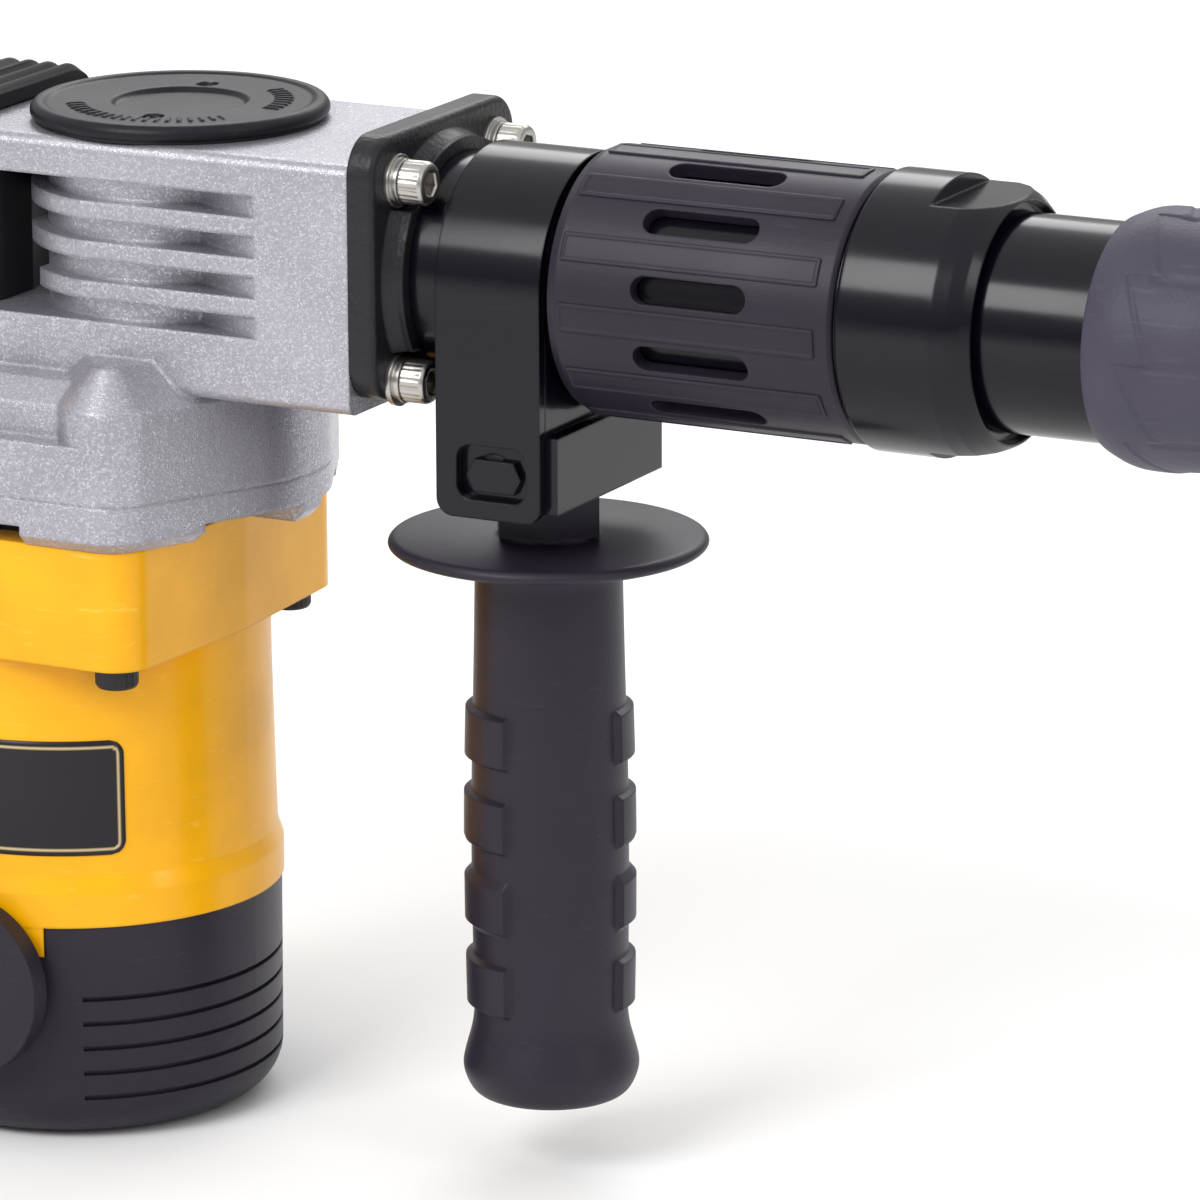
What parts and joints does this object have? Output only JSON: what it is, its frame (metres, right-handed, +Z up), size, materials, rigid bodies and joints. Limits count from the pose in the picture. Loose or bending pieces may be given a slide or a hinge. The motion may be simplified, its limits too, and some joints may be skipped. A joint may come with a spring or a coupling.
{
  "type": "demolition hammer",
  "caption": "Electric demolition hammer with upright motor, crank-driven barrel, locking nose sleeve, swivelling side handle and sprung rear D-handle.",
  "frame": {"origin": "on the motor axis, at the underside of the motor end cap", "axes": "+X along the hammer axis towards the nose, +Z up along the motor axis"},
  "size_m": [0.445, 0.1092, 0.2412],
  "materials": {
    "black_casting": "rough sand-cast, painted",
    "black_enamel": "gloss stove enamel",
    "black_rubber": "moulded rubber",
    "brass": "drawn brass",
    "carbon": "pressed carbon",
    "cast_aluminium": "fine shot-blasted casting",
    "charcoal_plastic": "satin glass-filled nylon",
    "copper": "enamelled copper",
    "ground_steel": "hardened and ground",
    "label": "printed film",
    "lamination": "stacked laminations",
    "white_nylon": "moulded nylon",
    "yellow_shell": "glossy moulded nylon",
    "zinc_steel": "bright zinc plate"
  },
  "bodies": {
    "machine": {"air_cylinder": "ground_steel", "anvil_guide": "ground_steel", "ball_bearings": "ground_steel", "barrel": "black_enamel", "barrel_flange": "black_casting", "barrel_sleeve": "charcoal_plastic", "bearing_plate": "cast_aluminium", "bellows": "black_rubber", "brush_holders": "brass", "cap_screws": "zinc_steel", "cap_seal": "black_rubber", "carbon_brushes": "carbon", "crank_cap": "charcoal_plastic", "damper_ring": "black_rubber", "damper_spring": "ground_steel", "front_collar": "black_enamel", "gear_housing": "cast_aluminium", "handle_pivot_pins": "ground_steel", "locking_rollers": "ground_steel", "motor_end_cap": "charcoal_plastic", "motor_housing": "yellow_shell", "nose_cap": "black_rubber", "rear_cover": "charcoal_plastic", "retainer_ring": "ground_steel", "side_labels": "label", "sleeve_spring": "ground_steel", "stator_coils": "copper", "stator_core": "lamination", "tool_holder": "black_enamel", "washers": "zinc_steel"},
    "armature": {"armature_shaft": "ground_steel", "armature_core": "lamination", "armature_windings": "copper", "commutator": "copper", "fan": "white_nylon"},
    "crank": {"crank_shaft": "ground_steel", "crank_gear": "ground_steel"},
    "piston": {"piston": "ground_steel", "piston_ring": "black_rubber", "wrist_pin": "ground_steel"},
    "rod": {"connecting_rod": "ground_steel", "crank_pin": "ground_steel"},
    "striker": {"striker": "ground_steel", "striker_ring": "black_rubber"},
    "anvil": {"anvil": "ground_steel"},
    "lock_sleeve": {"nose_sleeve": "black_rubber"},
    "side_handle": {"clamp_strap": "black_enamel", "clamp_block": "black_enamel", "clamp_bolts": "black_enamel"},
    "side_grip": {"grip": "charcoal_plastic", "grip_stud": "zinc_steel"},
    "rear_handle": {"handle_left": "yellow_shell", "handle_right": "yellow_shell", "handle_fork": "charcoal_plastic", "handle_screws": "zinc_steel", "grip_pad": "black_rubber", "switch_body": "charcoal_plastic", "cord_gland": "black_rubber"},
    "trigger": {"trigger": "charcoal_plastic"},
    "lock_button": {"lock_button": "charcoal_plastic"}
  },
  "joints": [
    {"name": "armature_spin", "type": "hinge", "parent": "machine", "child": "armature", "pos_m": [0, 0, 0.1], "axis": [0, 0, 1], "continuous": true},
    {"name": "crank_spin", "type": "hinge", "parent": "machine", "child": "crank", "pos_m": [0.0315, 0, 0.16], "axis": [0, 0, 1], "continuous": true},
    {"name": "piston_slide", "type": "slide", "parent": "machine", "child": "piston", "axis": [1, 0, 0], "range_m": [0, 0.024]},
    {"name": "rod_swing", "type": "hinge", "parent": "piston", "child": "rod", "pos_m": [0.0675, 0, 0.208], "axis": [0, 0, 1], "range_deg": [-14.4, 14.4]},
    {"name": "striker_slide", "type": "slide", "parent": "machine", "child": "striker", "axis": [1, 0, 0], "range_m": [0, 0.0138]},
    {"name": "anvil_slide", "type": "slide", "parent": "machine", "child": "anvil", "axis": [1, 0, 0], "range_m": [0, 0.008]},
    {"name": "lock_sleeve_slide", "type": "slide", "parent": "machine", "child": "lock_sleeve", "axis": [1, 0, 0], "range_m": [-0.008, 0], "stiffness_N_per_m": 900, "springref_m": 0.012, "deforming": ["sleeve_spring"]},
    {"name": "side_handle_swivel", "type": "hinge", "parent": "machine", "child": "side_handle", "pos_m": [0.1257, 0, 0.208], "axis": [1, 0, 0], "continuous": true},
    {"name": "grip_twist", "type": "hinge", "parent": "side_handle", "child": "side_grip", "pos_m": [0.1257, 0, 0.1], "axis": [0, 0, 1], "continuous": true},
    {"name": "rear_handle_pivot", "type": "hinge", "parent": "machine", "child": "rear_handle", "pos_m": [0, 0, 0.038], "axis": [0, 1, 0], "range_deg": [0, 1.5], "stiffness_Nm_per_rad": 600, "deforming": ["bellows", "damper_spring"]},
    {"name": "trigger_pull", "type": "slide", "parent": "rear_handle", "child": "trigger", "axis": [-1, 0, 0], "range_m": [0, 0.005], "stiffness_N_per_m": 1200, "springref_m": -0.002},
    {"name": "lock_button_press", "type": "slide", "parent": "rear_handle", "child": "lock_button", "axis": [0, 1, 0], "range_m": [0, 0.0025], "stiffness_N_per_m": 800, "springref_m": -0.001}
  ],
  "couplings": [
    {"joint": "crank_spin", "follows": "armature_spin", "ratio": -0.16667}
  ]
}
